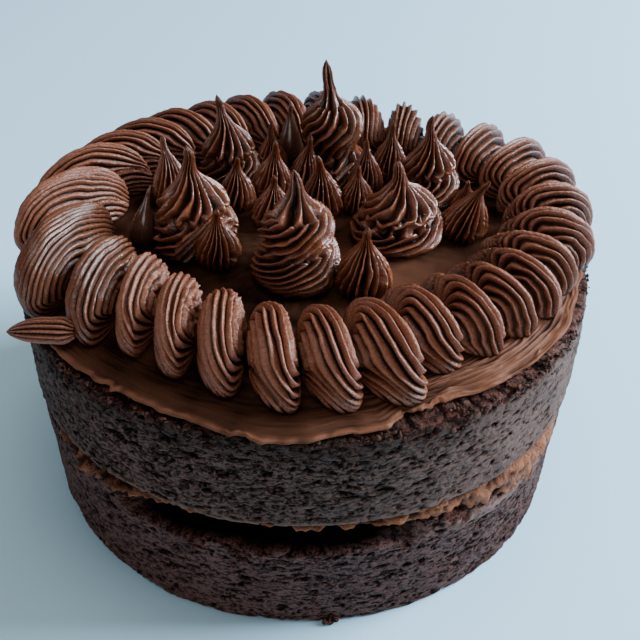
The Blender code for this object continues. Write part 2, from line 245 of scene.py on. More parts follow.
def crumb_finish(name, dark, light, film, roughness):
    """Chocolate sponge: matt crumb full of small flat holes painted black as painted shade, finer than the
    modelled ones.

    The points keep how much painted shade darkens them in holes and recesses, how far a film of tin grease
    covers them, which also stands for painted sheen where the light falls, and how far the crust is broken
    away, which shows moist red-brown crumb.
    """
    finish, tree = new_finish(name)
    # Grains of 0.5 mm and pores of 1.6 mm, both pressed flat, and patches of film of 10 mm
    place = add_node(tree, "TexCoord", {}, {}, "Object")
    flat = add_node(tree, "Mapping", {"Scale": (1, 1, 2.2)}, {"Vector": place})
    grain = add_node(tree, "TexNoise", {"Scale": 1900, "Detail": 3, "Roughness": 0.7}, {"Vector": flat})
    hole = add_node(
        tree, "TexNoise", {"Scale": 620, "Detail": 5, "Roughness": 0.72, "Distortion": 0.6}, {"Vector": flat}
    )
    patch = add_node(tree, "TexNoise", {"Scale": 95, "Detail": 4}, {"Vector": place})
    pores = add_node(tree, "ValToRGB", {"stops": ((0.42, "#000000"), (0.49, "#ffffff"))}, {"Fac": hole})
    deep = add_node(tree, "Attribute", {"attribute_name": "hollow"}, {}, "Fac")
    film_sheen_share = add_node(tree, "Attribute", {"attribute_name": "film"}, {}, "Fac")
    torn = add_node(tree, "Attribute", {"attribute_name": "broken"}, {}, "Fac")
    base = add_node(tree, "ValToRGB", {"stops": ((0.42, dark), (0.58, light))}, {"Fac": grain})
    spread = {"From Min": 0.35, "From Max": 0.6, "To Min": 0.25, "To Max": 1}
    patchy = add_node(tree, "MapRange", spread, {"Value": patch})
    # The film colour stands for the tin's grease film and for painted sheen where the light falls.
    cover = add_node(tree, "Math", {"operation": "MULTIPLY"}, {0: patchy, 1: film_sheen_share})
    toned = add_node(tree, "MixRGB", {"Color2": linear(film)}, {"Fac": cover, "Color1": base})
    fresh = {"stops": ((0.38, BROKEN_DARK), (0.68, BROKEN_LIGHT))}
    moist = add_node(tree, "ValToRGB", fresh, {"Fac": grain})
    crumbled = add_node(tree, "MixRGB", {}, {"Fac": torn, "Color1": toned, "Color2": moist})
    closed_film = add_node(tree, "MapRange", {"To Max": 0.85}, {"Value": film_sheen_share})
    solid = add_node(tree, "MixRGB", {"Color2": (1, 1, 1, 1)}, {"Fac": closed_film, "Color1": pores})
    # Painted shade: the pores and the deeper holes are painted black.
    pores_shaded = add_node(tree, "MixRGB", {"Color1": linear(PAINTED_SHADE_COLOUR)}, {"Fac": solid, "Color2": crumbled})
    shaded_base = add_node(tree, "MixRGB", {"Color2": linear(PAINTED_SHADE_COLOUR)}, {"Fac": deep, "Color1": pores_shaded})
    matt = {"From Min": 0.3, "From Max": 0.7, "To Min": roughness - 0.15, "To Max": roughness + 0.2}
    rough = add_node(tree, "MapRange", matt, {"Value": grain})
    fine = add_node(tree, "Bump", {"Strength": 1, "Distance": 0.5 * MM}, {"Height": grain})
    bumped = add_node(
        tree, "Bump", {"Strength": 1, "Distance": 0.45 * MM}, {"Height": solid, "Normal": fine}
    )
    closed = add_node(tree, "Math", {"operation": "SUBTRACT", 0: 1}, {1: deep})
    open_air = add_node(tree, "Math", {"operation": "MULTIPLY"}, {0: solid, 1: closed})
    sheen = add_node(tree, "MapRange", {"To Min": 0.02, "To Max": 0.26}, {"Value": open_air})
    shader = add_node(
        tree, "BsdfPrincipled", {"IOR": 1.45},
        {"Base Color": shaded_base, "Roughness": rough, "Specular IOR Level": sheen, "Normal": bumped},
    )
    add_node(tree, "OutputMaterial", {}, {"Surface": shader})
    return finish


def raise_share(piece, name, shares):
    """Raises the numbers that a piece keeps under a name to at least the given shares."""
    layer = piece.data.attributes[name]
    kept = np.empty(len(piece.data.vertices), dtype=np.float32)
    layer.data.foreach_get("value", kept)
    layer.data.foreach_set("value", np.maximum(kept, shares).astype(np.float32))


def side_rows(low_radius, low_z, high_radius, high_z):
    """Points up a straight side, close enough together for the holes."""
    count = round((high_z - low_z) / ROW)
    return [
        (low_radius + (high_radius - low_radius) * i / count, low_z + (high_z - low_z) * i / count)
        for i in range(count + 1)
    ]


def rounded_edge(radius, level, rounding, angles):
    """Points round an edge, from its side at a level upwards, or down for a rounding below 0."""
    inset = abs(rounding)
    turns = [math.radians(angle) for angle in angles]
    return [(radius - inset * (1 - math.cos(turn)), level + rounding * math.sin(turn)) for turn in turns]


def pit_side(piece, low_z, high_z, holes, seed, broken_band, closed):
    """Presses holes and unevenness into a turned side, rougher where the crust is broken away.

    Holes are shallower by the share that the tin kept closed.
    """
    points = points_of(piece)
    azimuth, radius = round_places(points)
    z = points[:, 2]
    around = math.tau * LOWER_TOP_RADIUS
    draw = np.random.default_rng(seed)
    relief = pitted(around, high_z - low_z, holes, draw)
    ragged = 0.5 * lumps(points, 0.9, seed) + 0.9 * lumps(points, 2.2, seed + 1)
    along = azimuth / 360 * around + ragged
    hole = (1 - closed) * relief_at(relief, around, along, z - low_z + 0.35 * ragged)
    torn_out = smooth(0.25, 0.5, lumps(points * [1, 1, 1.4], 1.5, seed + 9))
    side = smooth(66, 69.5, radius)
    flat = points * [1, 1, 2]
    wavy = 0.8 * lumps(points * [1, 1, 0.2], 5, seed + 5) + 0.9 * lumps(points, 1.8, seed + 6)
    band = broken_band * (1 + wavy)
    broken = smooth(0, 1.2, z - (high_z - band)) * side * (broken_band > 0.1)
    swell = 0.4 * lumps(points, 9, seed + 2) + 0.14 * lumps(flat, 2.6, seed + 3)
    swell += broken * (0.5 * lumps(points, 1.7, seed + 7) + 0.3 * lumps(points, 0.9, seed + 8) - 0.35)
    grain = GRAIN_RELIEF * lumps(flat, 0.9, seed + 4)
    cavity = broken * torn_out
    inward = side * (hole - swell - grain + 0.9 * cavity)
    points -= inward[:, None] * rays(azimuth)
    # Painted shade: holes and torn-out cavities are painted near-black by this share.
    write_share(piece, "hollow", np.maximum(smooth(0.06, 0.32, hole) * side * 0.95, 0.9 * cavity))
    write_share(piece, "broken", broken)
    return points, azimuth, radius


shoulder_start = LOWER_HEIGHT - LOWER_SHOULDER
lower_outline = [
    (0, 0), (40, 0), (68, 0), (LOWER_BASE_RADIUS - 0.8, 0),
    *side_rows(LOWER_BASE_RADIUS - 0.1, 0.5, LOWER_TOP_RADIUS, shoulder_start),
    *rounded_edge(LOWER_TOP_RADIUS, shoulder_start, LOWER_SHOULDER, range(8, 84, 7)),
    *((radius, LOWER_HEIGHT) for radius in (68.5, 66, 60, 30, 0)),
]
lower = turned("lower_sponge_crumb", lower_outline, SPONGE_STEPS)
azimuth, _ = round_places(points_of(lower))
lower_broken = 1.5 + 5.5 * near(azimuth, 256, 40) + 3 * near(azimuth, 300, 14)
points, azimuth, radius = pit_side(lower, 0, LOWER_HEIGHT, LOWER_HOLES, 11, lower_broken, 0)
below_top = LOWER_HEIGHT - points[:, 2]
mouth = smooth(232, 243, azimuth) * (1 - smooth(272, 300, azimuth))
ledge = 5 + 1.1 * lumps(points * [1, 1, 0.2], 5, 13) + 0.6 * lumps(points * [1, 1, 0.2], 1.8, 14)
cut = 5 * mouth * (1 - smooth(-0.7, 0.7, below_top - ledge))
corner = 2.2 * near(azimuth, 314, 36) * (1 - smooth(0.5, 3.5, below_top))
crack_line = 290 + 1.2 * lumps(points * [0, 0, 1], 2.5, 15)
crack = 2.2 * near(azimuth, crack_line, 1.3) * smooth(1.5, 3, below_top)
crack *= 1 - smooth(6.5, 8.5, below_top)
shelf_foot = 7 + 1.5 * lumps(points, 4, 16)
shelf = near(azimuth, 312, 30) * smooth(3, 4, below_top) * (1 - smooth(-1, 1, below_top - shelf_foot))
sunk = (cut + corner + crack - 0.9 * shelf) * smooth(60, 70, radius)
points -= sunk[:, None] * rays(azimuth)
points[:, 2] = np.maximum(points[:, 2], 0)
put_points(lower, points)
# The grey film, with painted sheen on the shelf at the right front, where the light falls.
write_share(lower, "film", np.clip(shelf + 0.15, 0, 1))
# Painted shade: the recess where the crust broke off is painted darker.
raise_share(lower, "hollow", 0.32 * cut)
rubbed = smooth(-0.4, 0.3, lumps(points * [1, 1, 1.5], 4.5, 17)) * (1 - smooth(8, 15, points[:, 2]))
raise_share(lower, "broken", rubbed * near(azimuth, 318, 45) * smooth(66, 70, radius))
# Purple-brown crumb, matt and faintly moist, with painted shade making it black where holes go in.
lower_crumb = crumb_finish("lower_chocolate_crumb", LOWER_DARK, LOWER_LIGHT, LOWER_FILM_SHEEN, 0.6)
settle(lower, lower_crumb, "sponge", "lower_sponge")

# Filling: chocolate frosting spread between the layers and pressed out unevenly by the one on top.
# It is turned like the sponge, drawn back at the front and pushed out at the right and the left.
FILLING_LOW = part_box("filling")[0].z / MM
FILLING_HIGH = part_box("filling")[1].z / MM
FILLING_MIDDLE = (FILLING_LOW + FILLING_HIGH) / 2
FILLING_RADIUS = 72.4
FILLING_BULGE = 1.6
FILLING_ROWS = 18
FILLING_STEPS = 900
FILLING_LIGHT = "#8a5539"
FILLING_DARK = "#1e0e08"


def frosting_finish(name, dark, light, roughness, glow, beads, shine):
    """Chocolate buttercream: satin fat-rich paste that lets a little light into its thin edges.

    Its furrows are painted near-black and its crests lighter, as painted shade, and its sheen lies on the
    crests: the points keep a share for this, mostly how high on a ridge they lie, with painted light and
    shade added in places.
    """
    finish, tree = new_finish(name)
    # The shade drifts over 9 mm, and beads of air in the paste are 0.7 mm wide
    place = add_node(tree, "TexCoord", {}, {}, "Object")
    drift = add_node(tree, "TexNoise", {"Scale": 110, "Detail": 3}, {"Vector": place})
    fine = add_node(tree, "TexNoise", {"Scale": 1500, "Detail": 3, "Roughness": 0.6}, {"Vector": place})
    high = add_node(tree, "Attribute", {"attribute_name": "crest"}, {}, "Fac")
    # Painted shade: the colour runs from the dark colour in the furrows to the light one on the crests.
    amount = add_node(tree, "Math", {"operation": "MULTIPLY_ADD", 1: 0.35}, {0: drift, 2: high})
    base = add_node(tree, "ValToRGB", {"stops": ((0.15, dark), (0.95, light))}, {"Fac": amount})
    satin = {"From Min": 0.3, "From Max": 0.7, "To Min": roughness - 0.1, "To Max": roughness + 0.12}
    rough = add_node(tree, "MapRange", satin, {"Value": fine})
    on_crests = {"From Max": 0.6, "To Min": 0.08 * shine, "To Max": shine}
    sheen = add_node(tree, "MapRange", on_crests, {"Value": high})
    bumped = add_node(tree, "Bump", {"Strength": 0.7, "Distance": beads * MM}, {"Height": fine})
    shader = add_node(
        tree, "BsdfPrincipled",
        {"IOR": 1.46, "Subsurface Weight": glow, "Subsurface Radius": (1, 0.45, 0.25),
         "Subsurface Scale": 0.8 * MM},
        {"Base Color": base, "Roughness": rough, "Specular IOR Level": sheen, "Normal": bumped},
    )
    add_node(tree, "OutputMaterial", {}, {"Surface": shader})
    return finish


half_gap = (FILLING_HIGH - FILLING_LOW) / 2
bulge = [math.pi * i / FILLING_ROWS for i in range(FILLING_ROWS + 1)]
filling_outline = [
    *((radius, FILLING_LOW) for radius in (0, 40, 64)),
    *(
        (FILLING_RADIUS - FILLING_BULGE * (1 - math.sin(turn)), FILLING_MIDDLE - half_gap * math.cos(turn))
        for turn in bulge
    ),
    *((radius, FILLING_HIGH) for radius in (64, 40, 0)),
]
filling = turned("filling_spread", filling_outline, FILLING_STEPS)
points = points_of(filling)
azimuth, radius = round_places(points)
edge = smooth(60, 70, radius)
push = 1.3 * near(azimuth, 222, 24) + 2.9 * near(azimuth, 316, 36) - 2.6 * near(azimuth, 260, 30)
around = rays(azimuth) * 72
torn = lumps(around + [0, 0, 0.4] * points[:, 2:3], 7, 21)
torn += 0.5 * lumps(points * [1, 1, 1.6], 2.6, 22)
streak = 0.7 * lumps(points * [0.4, 0.4, 2], 1.4, 23) + 0.5 * lumps(points * [1, 1, 1.5], 1, 25)
gap_side = near(azimuth, 224, 30)
upper_half = smooth(-0.2, 0.5, points[:, 2] - FILLING_MIDDLE)
out = edge * (push + torn + streak + gap_side * (1.2 * torn + 1.8 * streak - 4.5 * upper_half))
out += edge * near(azimuth, 268, 45) * upper_half * (2.7 + 0.9 * torn + 0.6 * streak)
points += out[:, None] * rays(azimuth)
sag = 4.6 * near(azimuth, 313, 34) + 2.6 * near(azimuth, 222, 20)
sag *= 1 + 0.6 * lumps(around, 3, 24) + 0.5 * lumps(around, 1.1, 26)
hanging = 1 - smooth(FILLING_LOW, FILLING_HIGH, points[:, 2])
points[:, 2] -= sag * hanging * smooth(71.5, 74.5, np.hypot(points[:, 0], points[:, 1]))
put_points(filling, points)
# Painted light and shade: the filling is painted darker at the front and in the gap on the left, with
# painted light on its torn bulges, its streaks and on patches in the gap.
painted_light_patches = smooth(0, 0.4, lumps(points * [1, 1, 1.6], 3.2, 27))
lit = 0.7 - 0.4 * near(azimuth, 240, 60) + 0.4 * torn + 1.1 * streak + gap_side * (0.7 * painted_light_patches - 0.6)
write_share(filling, "crest", np.clip(lit, 0, 1))
# Frosting that was smeared and torn: satin, lighter than the piped frosting, with air worked into it.
filling_finish = frosting_finish("torn_filling_frosting", FILLING_DARK, FILLING_LIGHT, 0.55, 0.08, 1.2, 0.2)
settle(filling, filling_finish, "filling", "filling")

# Upper sponge: the same cake turned over, so its tin side shows at the lower edge: smooth and rounded, with
# a grey film where it touched the greased tin, and broken reddish crumb along its top edge. The same film
# colour is painted on the right side as painted sheen, where the light falls.
UPPER_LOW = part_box("upper_sponge")[0].z / MM
UPPER_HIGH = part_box("upper_sponge")[1].z / MM
UPPER_RADIUS = 75
UPPER_ROUNDING = 2.2
UPPER_HOLES = ((130, 2.1, 0.5, 1.1), (650, 1.2, 0.36, 0.85), (3900, 0.55, 0.28, 0.55))
UPPER_DARK = "#1a100c"
UPPER_LIGHT = "#745041"
UPPER_FILM_SHEEN = "#765648"

tin_corner = UPPER_LOW + UPPER_ROUNDING
upper_outline = [
    *((radius, UPPER_LOW) for radius in (0, 40, 66, 70.5)),
    *rounded_edge(UPPER_RADIUS, tin_corner, -UPPER_ROUNDING, range(78, 4, -9)),
    *side_rows(UPPER_RADIUS, tin_corner, UPPER_RADIUS, UPPER_HIGH - 1.2),
    (UPPER_RADIUS - 0.3, UPPER_HIGH - 0.8), (UPPER_RADIUS - 0.7, UPPER_HIGH - 0.4),
    *((radius, UPPER_HIGH) for radius in (UPPER_RADIUS - 1.4, 72.5, 71, 60, 0)),
]
upper = turned("upper_sponge_crumb", upper_outline, SPONGE_STEPS)
azimuth, _ = round_places(points_of(upper))
upper_broken = 0.9 + 2.6 * near(azimuth, 303, 34) + 3 * near(azimuth, 224, 26)
upper_broken += 0.8 * near(azimuth, 345, 20)
closed = 0.45 * near(azimuth, 340, 75)
points, azimuth, radius = pit_side(upper, UPPER_LOW + 1.5, UPPER_HIGH, UPPER_HOLES, 31, upper_broken, closed)
crust = smooth(UPPER_HIGH - 0.3, UPPER_HIGH - 0.1, points[:, 2]) * smooth(68, 70, radius)
points[:, 2] += crust * (0.35 * lumps(points, 1.6, 37) + 0.3 * lumps(points, 0.9, 38) - 0.25)
put_points(upper, points)
# The film share is the greased tin at the lower edge and painted sheen on the right side, where the light
# falls.
tin_edge_and_lit_side = 0.15 + 0.85 * near(azimuth, 322, 55)
tin_edge_and_lit_side += 0.8 * (1 - smooth(UPPER_LOW + 1.5, UPPER_LOW + 3.6, points[:, 2]))
write_share(upper, "film", np.clip(tin_edge_and_lit_side, 0, 1))
# Painted shade: the crumb is painted darker towards the top, under the frosting's overhang, except on the
# right.
overhang_shade = 0.5 * smooth(UPPER_HIGH - 11, UPPER_HIGH - 1, points[:, 2]) * (1 - near(azimuth, 335, 60))
raise_share(upper, "hollow", overhang_shade * smooth(66, 70, radius))
# Near-black crumb under a thin grey-brown film of tin grease, which shines softly on what stands out; the
# film colour is also a painted sheen on the lit right side.
upper_crumb = crumb_finish("upper_chocolate_crumb", UPPER_DARK, UPPER_LIGHT, UPPER_FILM_SHEEN, 0.5)
settle(upper, upper_crumb, "sponge", "upper_sponge")

# Top frosting: a thin coat spread with a palette knife. The knife left fine streaks round the rim, a
# thin torn lip over the sponge's edge, and coarse ridges at the right front.
TOP_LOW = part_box("top_frosting")[0].z / MM
TOP_LEVEL = 67.4
TOP_RADIUS = 74.6
TOP_STEPS = 900
SPREAD_LIGHT = "#6e4633"
SPREAD_DARK = "#140a06"
# Azimuth and radius of the coat's torn edge
EDGE = (
    (0, 72.8), (60, 73.5), (150, 73.8), (200, 74.4), (227, 74.4), (238, 72.8), (246, 73.3), (254, 74.6),
    (262, 76.2), (271, 76), (277, 73.4), (283, 73.8), (288, 70.6), (300, 70.4), (312, 71.6), (330, 72.6),
)


def edge_radius(azimuth):
    """The radius of the coat's edge at each azimuth, straight between the rows."""
    return np.interp(azimuth, *zip(*EDGE), period=360)


top_outline = [
    *((radius, TOP_LOW) for radius in (0, 60, 72.4)),
    (74, TOP_LOW + 0.15), (74.5, TOP_LOW + 0.45), (TOP_RADIUS, TOP_LOW + 0.75), (74.4, TOP_LEVEL - 0.25),
    *((74.1 - 0.25 * i, TOP_LEVEL) for i in range(56)),
    *((60.4 - 1.5 * i, TOP_LEVEL) for i in range(1, 18)),
    *((34.5 - 2.3 * i, TOP_LEVEL) for i in range(1, 15)),
    (0, TOP_LEVEL),
]
top = turned("top_frosting_coat", top_outline, TOP_STEPS)
points = points_of(top)
azimuth, radius = round_places(points)
unit = rays(azimuth)
upside = smooth(TOP_LEVEL - 0.7, TOP_LEVEL - 0.1, points[:, 2])
knife = np.column_stack((radius / 0.95, azimuth * 0.11, 0 * radius))
fine_knife = np.column_stack((radius / 0.5, azimuth * 0.2, 0 * radius))
coarse = near(azimuth, 312, 48) * smooth(61, 66, radius)
knife_side = near(azimuth, 325, 60)
crisp = 1 - 2.4 * np.abs(lumps(knife, 1, 41))
finer = 1 - 2.4 * np.abs(lumps(fine_knife, 1, 42))
streaks = (0.06 + 0.5 * coarse) * crisp + (0.07 + 0.55 * coarse) * finer
brim = unit * 74
shredded = smooth(0.2, 0.6, lumps(brim, 7, 40)) * (1 - 0.7 * knife_side)
curled = (1 - knife_side) * (0.3 * lumps(brim, 3, 43) + 0.5 * shredded * lumps(brim, 1.1, 44))
lip = smooth(72.9, 74.1, radius) * (0.1 + curled)
swept = 0.3 * lumps(points * [0.5, 0.5, 0], 6, 45)
thinning = (0.7 + 0.65 * near(azimuth, 320, 50)) * smooth(69.5, 74.1, radius)
points[:, 2] += upside * (streaks + lip - thinning + 0.4 * swept * smooth(50, 20, radius))
rim = smooth(60, 73.8, radius) * (edge_radius(azimuth) - TOP_RADIUS)
waves = 0.7 * lumps(brim, 6, 46) + 0.22 * (1 - knife_side) * lumps(brim, 2.2, 47)
frayed = 0.6 * lumps(brim, 1.9, 48) + 0.4 * lumps(brim, 0.8, 39)
rim += smooth(69, 73.8, radius) * waves
rim += smooth(71.5, 73.8, radius) * (0.1 + 0.3 * (1 - knife_side) + 1.7 * shredded) * frayed
points += rim[:, None] * unit
points[:, 2] = np.maximum(points[:, 2], TOP_LOW)
put_points(top, points)
# Painted light and shade: the coat is painted lighter towards the rim, on the right where the light falls,
# on the flat inside the ring at the right, along the torn edge, on the knife streaks and on the lip.
sunlit = 0.02 + 0.16 * smooth(64, 73, radius) + 0.16 * near(azimuth, 325, 65)
sunlit += 0.2 * near(azimuth, 322, 50) * (1 - smooth(50, 60, radius))
sunlit += smooth(72.6, 74.3, radius) * (0.45 + 0.5 * lumps(brim, 2, 36))
write_share(top, "crest", np.clip(sunlit + 0.7 * streaks + 0.8 * lip + 0.1 * lumps(points, 7, 49), 0, 1))
# Smoothed buttercream: matt and even, with the crisp streaks of the knife catching the light.
spread_finish = frosting_finish("knife_spread_frosting", SPREAD_DARK, SPREAD_LIGHT, 0.5, 0.06, 0.07, 0.08)
settle(top, spread_finish, "spread_frosting", "top_frosting")

# Rope border: one line of frosting piped in overlapping turns with a large star nozzle. Each turn comes
# out from under the one before it, arches over and hooks away under the next at the rim. One blank
# sheet is modelled and bent into every turn, and the nozzle's furrows are pressed into it.
FLOOR = TOP_LEVEL + 0.3
ACROSS = 92
ALONG = 140
# Azimuth, then middle radius, half reach, height and slant of the turns
ROPE = (
    (0, 65.5, 12.3, 13.5, 1), (12, 67.5, 12, 14, 2), (28, 67, 12, 14.5, 4), (42, 62.5, 11.5, 14, 6),
    (60, 60, 11.5, 13.5, 8), (120, 60.5, 11.5, 13.5, 10), (145, 62, 11.5, 14, 14),
    (165, 63, 12.8, 15, 19), (190, 62, 14, 15.5, 22), (210, 55.5, 13.5, 14.5, 22),
    (222, 51.2, 13, 14.5, 18), (249, 52.5, 13.5, 15, 11), (262, 54.5, 14.5, 15, 8),
    (287, 55, 15, 15, 5), (301, 51.5, 13, 14, 1), (323, 54.5, 13, 13.5, -2),
    (341, 58.5, 12.8, 13.5, -1),
)
TURNS = (
    192.5, 210.3, 221.8, 234.4, 249.1, 262, 274.6, 287, 301.2, 312.7, 323.3, 332, 341, 353,
    365, 375.5, 386, 396.5, 408, 420, 432, 444, 455, 466, 476.5, 487, 497, 507, 518, 531,
)
# Azimuth; where along the turn it comes out at one side and hooks away at the other; its inner reach as
# a share; spacing and depth of the ridges; how far the crest leans towards the next turn; how high the
# seam lies between two turns; how square the turn is across
LAY = (
    (0, 0.42, 0.95, 1, 2.1, 2, 0.45, 0.12, 2.1), (18, 0.3, 0.8, 1, 2.1, 1.9, 0.35, 0.18, 2.2),
    (34, 0.2, 0.85, 1, 2.35, 1.8, 0.3, 0.18, 2.2), (60, 0.2, 0.9, 1, 2.35, 1.8, 0.25, 0.2, 2.2),
    (120, 0.25, 0.8, 0.95, 2.35, 1.5, 0.15, 0.3, 2.5), (165, 0.4, 0.8, 0.9, 1.9, 1, 0.1, 0.4, 2.6),
    (190, 0.42, 0.85, 0.8, 1.7, 0.8, 0.2, 0.42, 2.6), (210, 0.4, 0.75, 0.68, 2, 1.15, 0.2, 0.42, 2.8),
    (225, 0.4, 0.64, 0.66, 2.2, 1.5, 0.15, 0.44, 3), (250, 0.42, 0.68, 0.85, 2.35, 1.7, 0.14, 0.42, 3),
    (262, 0.44, 0.68, 0.95, 2.4, 2.1, 0.16, 0.42, 3), (287, 0.46, 0.68, 0.95, 2.4, 2.1, 0.2, 0.42, 3),
    (301, 0.5, 0.72, 1, 2.3, 1.8, 0.3, 0.36, 2.8), (320, 0.5, 0.9, 1, 2.2, 2.1, 0.42, 0.1, 2.2),
    (341, 0.5, 0.95, 1, 2.1, 2.1, 0.45, 0.08, 2.1),
)
SEAM_GAP = 0.35
FOOT_RISE = 0.26
ROPE_LIGHT = "#84503a"
ROPE_DARK = "#050201"
SWEPT_LIGHT = "#6a3f2c"
# Azimuths between which the nozzle dragged over the turns
SWEPT = (160, 215)


def stations_at(stations, azimuth):
    """The values of a table that starts with azimuths, smoothly between its rows."""
    turn = azimuth % 360
    rows = [*stations, (stations[0][0] + 360, *stations[0][1:])]
    for before, after in zip(rows, rows[1:]):
        if before[0] <= turn <= after[0]:
            share = (1 - math.cos(math.pi * (turn - before[0]) / (after[0] - before[0]))) / 2
            return [a + (b - a) * share for a, b in zip(before[1:], after[1:])]
    raise ValueError(azimuth)


def seam(azimuth, radius):
    """Azimuth in radians of the seam between two turns, at each radius."""
    middle, reach, _, slant = stations_at(ROPE, azimuth)
    return np.radians(azimuth + slant * (radius - middle) / (2 * reach))


def ridge_profile(phase, sharpness=0.72):
    """Rounded crests at whole numbers and wide dark furrows half way between, from 0 to 1."""
    return (0.5 + 0.5 * np.cos(math.tau * phase)) ** sharpness


def fan(away, beyond, crowding, roundness):
    """Distance from the corner where ridges bend round, in widths; they crowd where they leave it."""
    beyond = np.maximum(beyond, 0)
    bend = np.arctan2(beyond, away) / (math.pi / 2)
    far = (np.abs(away) ** roundness + beyond ** roundness) ** (1 / roundness)
    return far / (1 - crowding * bend ** 1.5)


def sheet_normals(sheet):
    """The unit normals of a sheet of points kept as rows and columns."""
    along, across = np.gradient(sheet, axis=(0, 1))
    normal = np.cross(along, across)
    return normal / np.maximum(np.linalg.norm(normal, axis=2, keepdims=True), 1e-9)


def dome_over(place, lean, furrow, square):
    """Height over a turn from one seam to the other, as a share, with its crest leaning over."""
    level = 2 * place - 1
    skewed = (level - lean) / (1 - lean * level)
    return furrow + (1 - furrow) * np.clip(1 - np.abs(skewed) ** square, 0, 1) ** 0.5


def bend_turn(piece, azimuth, before, after, seed):
    """Bends the blank sheet, which spans -1 to 1 across and along, into one turn of the rope."""
    middle, reach, height, _ = stations_at(ROPE, azimuth)
    start, hook, inner_reach, pitch, depth, lean, furrow, square = stations_at(LAY, azimuth)
    sheet = points_of(piece) * MM
    order = np.lexsort((sheet[:, 0], np.round(sheet[:, 1], 6)))
    psi = (sheet[order, 0] + 1) / 2
    t = (sheet[order, 1] + 1) / 2
    width = math.radians(after - before) * middle
    size = (reach + height) / 2
    lanes = np.linspace(0, 1, 600)
    steps = np.hypot(np.diff(lanes) * width, np.diff(dome_over(lanes, 0.7 * lean, furrow, square)) * size)
    arc = np.concatenate(([0], np.cumsum(steps)))
    place = np.interp(psi * arc[-1], arc, lanes)
    longer = math.pi * size / width
    lane = np.where(t < start, fan(place, 0.85 * longer * (start - t), 0.25, 2), place)
    lane = np.where(t > hook, 1 - fan(1 - place, 0.7 * longer * (t - hook), 0.12, 1.8), lane)
    sink = math.asin(FOOT_RISE / (1 - FOOT_RISE))
    alpha = -sink + t * (math.pi + 2 * sink)
    local = np.column_stack((psi * 14 + 40 * seed, t * 40, 0 * t))
    crest = lean * (0.4 + 0.6 * np.cos(alpha / 2) ** 2)
    ends = np.cos(alpha) ** 2
    front = near(azimuth, 262, 75)
    low_seam = furrow * (1 - 0.55 * ends) * (1 - 0.7 * front * smooth(0.35, 0.75, t))
    rounder = np.maximum(0.5 * ends, 0.8 * front * smooth(0.4, 0.8, t))
    swell = dome_over(place, crest, low_seam, square - (square - 2) * rounder)
    pocket = near(azimuth, 338, 48) * (1 - smooth(0.12, 0.5, place)) * (1 - smooth(0.3, 0.65, t))
    swell *= 1 - 0.6 * pocket
    swell *= 1 + 0.05 * lumps(local, 8, 51) + 0.02 * lumps(local, 3, 56)
    inward = 1 + (inner_reach - 1) * np.clip(np.cos(alpha), 0, 1)
    radius = middle - np.cos(alpha) * (reach + 0.5) * swell * inward
    z = swell * (height + 0.5) * (FOOT_RISE + (1 - FOOT_RISE) * np.sin(alpha))
    left = seam(before, radius) + SEAM_GAP / 2 / radius
    right = seam(after, radius) - SEAM_GAP / 2 / radius
    narrowed = 1 - 0.06 * front * smooth(0.45, 0.8, t)
    turn = left + (right - left) * (0.5 + (place - 0.5) * narrowed)
    bent = np.column_stack((radius * np.cos(turn), radius * np.sin(turn), FLOOR + z))
    beyond = np.maximum(lane - 1, 0) + np.minimum(lane, 0)
    phase = (np.interp(lane, lanes, arc) + 0.85 * arc[-1] * beyond) / pitch + 0.37 * seed
    phase += 0.22 * lumps(local, 9, 52) + 0.08 * lumps(local, 2.5, 53)
    profile = ridge_profile(phase, 0.88 + 0.3 * near(azimuth, 340, 60))
    corner = 0.03 + 0.03 * smooth(hook - 0.15, hook + 0.1, t)
    fade = smooth(0, 0.03, psi) * smooth(0, 1, (1 - psi) / corner)
    fade *= smooth(0, 0.04, t) * smooth(0, 0.04, 1 - t)
    shallow = 1 - (0.2 + 0.5 * near(azimuth, 232, 50)) * (1 - smooth(0.3, 0.58, t))
    uneven = shallow * (1 + 0.3 * lumps(local, 5, 54))
    torn = near(azimuth, 235, 40) * smooth(0.62, 0.85, place) * (1 - smooth(0.5, 0.65, t))
    beads = (0.12 + 0.9 * torn) * profile * lumps(np.column_stack((psi * 17, t * 60, 0 * t)), 1, 55 + seed)
    worn = 1 - 0.7 * smooth(0.84, 0.97, t)
    worn *= 1 - 0.9 * near(azimuth, 335, 55) * (1 - smooth(0.08, 0.28, t))
    pressed = fade * worn * (beads - depth * uneven * (1 - profile))
    normals = sheet_normals(bent.reshape(ALONG + 1, ACROSS + 1, 3)).reshape(-1, 3)
    bent += normals * pressed[:, None]
    bent[:, 2] = np.maximum(bent[:, 2], FLOOR)
    points = np.empty_like(bent)
    points[order] = bent
    put_points(piece, points)
    crest_and_painted_shade = np.empty(len(bent))
    # Painted shade and light: the furrows and the pockets are painted darker, the turns at the back darker
    # and less glossy where the light grazes them, and the turns at the left front and at the right lighter.
    painted_dimming = 1 - 0.45 * near(azimuth, 55, 60) - 0.15 * near(azimuth, 135, 40)
    broad = smooth(0.1, 0.6, profile) * fade * painted_dimming * (1 - 0.8 * pocket)
    painted_lift = 0.2 * near(azimuth, 230, 30) + 0.15 * near(azimuth, 338, 48) * (1 - pocket)
    crest_and_painted_shade[order] = np.maximum(broad, painted_lift)
    write_share(piece, "crest", crest_and_painted_shade)


bpy.ops.mesh.primitive_grid_add(x_subdivisions=ACROSS, y_subdivisions=ALONG, size=2, location=(0, 0, 0))
rope_blank = bpy.context.object
rope_blank.name = "rope_blank"
# Star-piped buttercream: satin crests that catch the light, furrows in shadow, thin edges that glow.
rope_finish = frosting_finish("piped_rope_frosting", ROPE_DARK, ROPE_LIGHT, 0.28, 0.04, 0.5, 0.55)
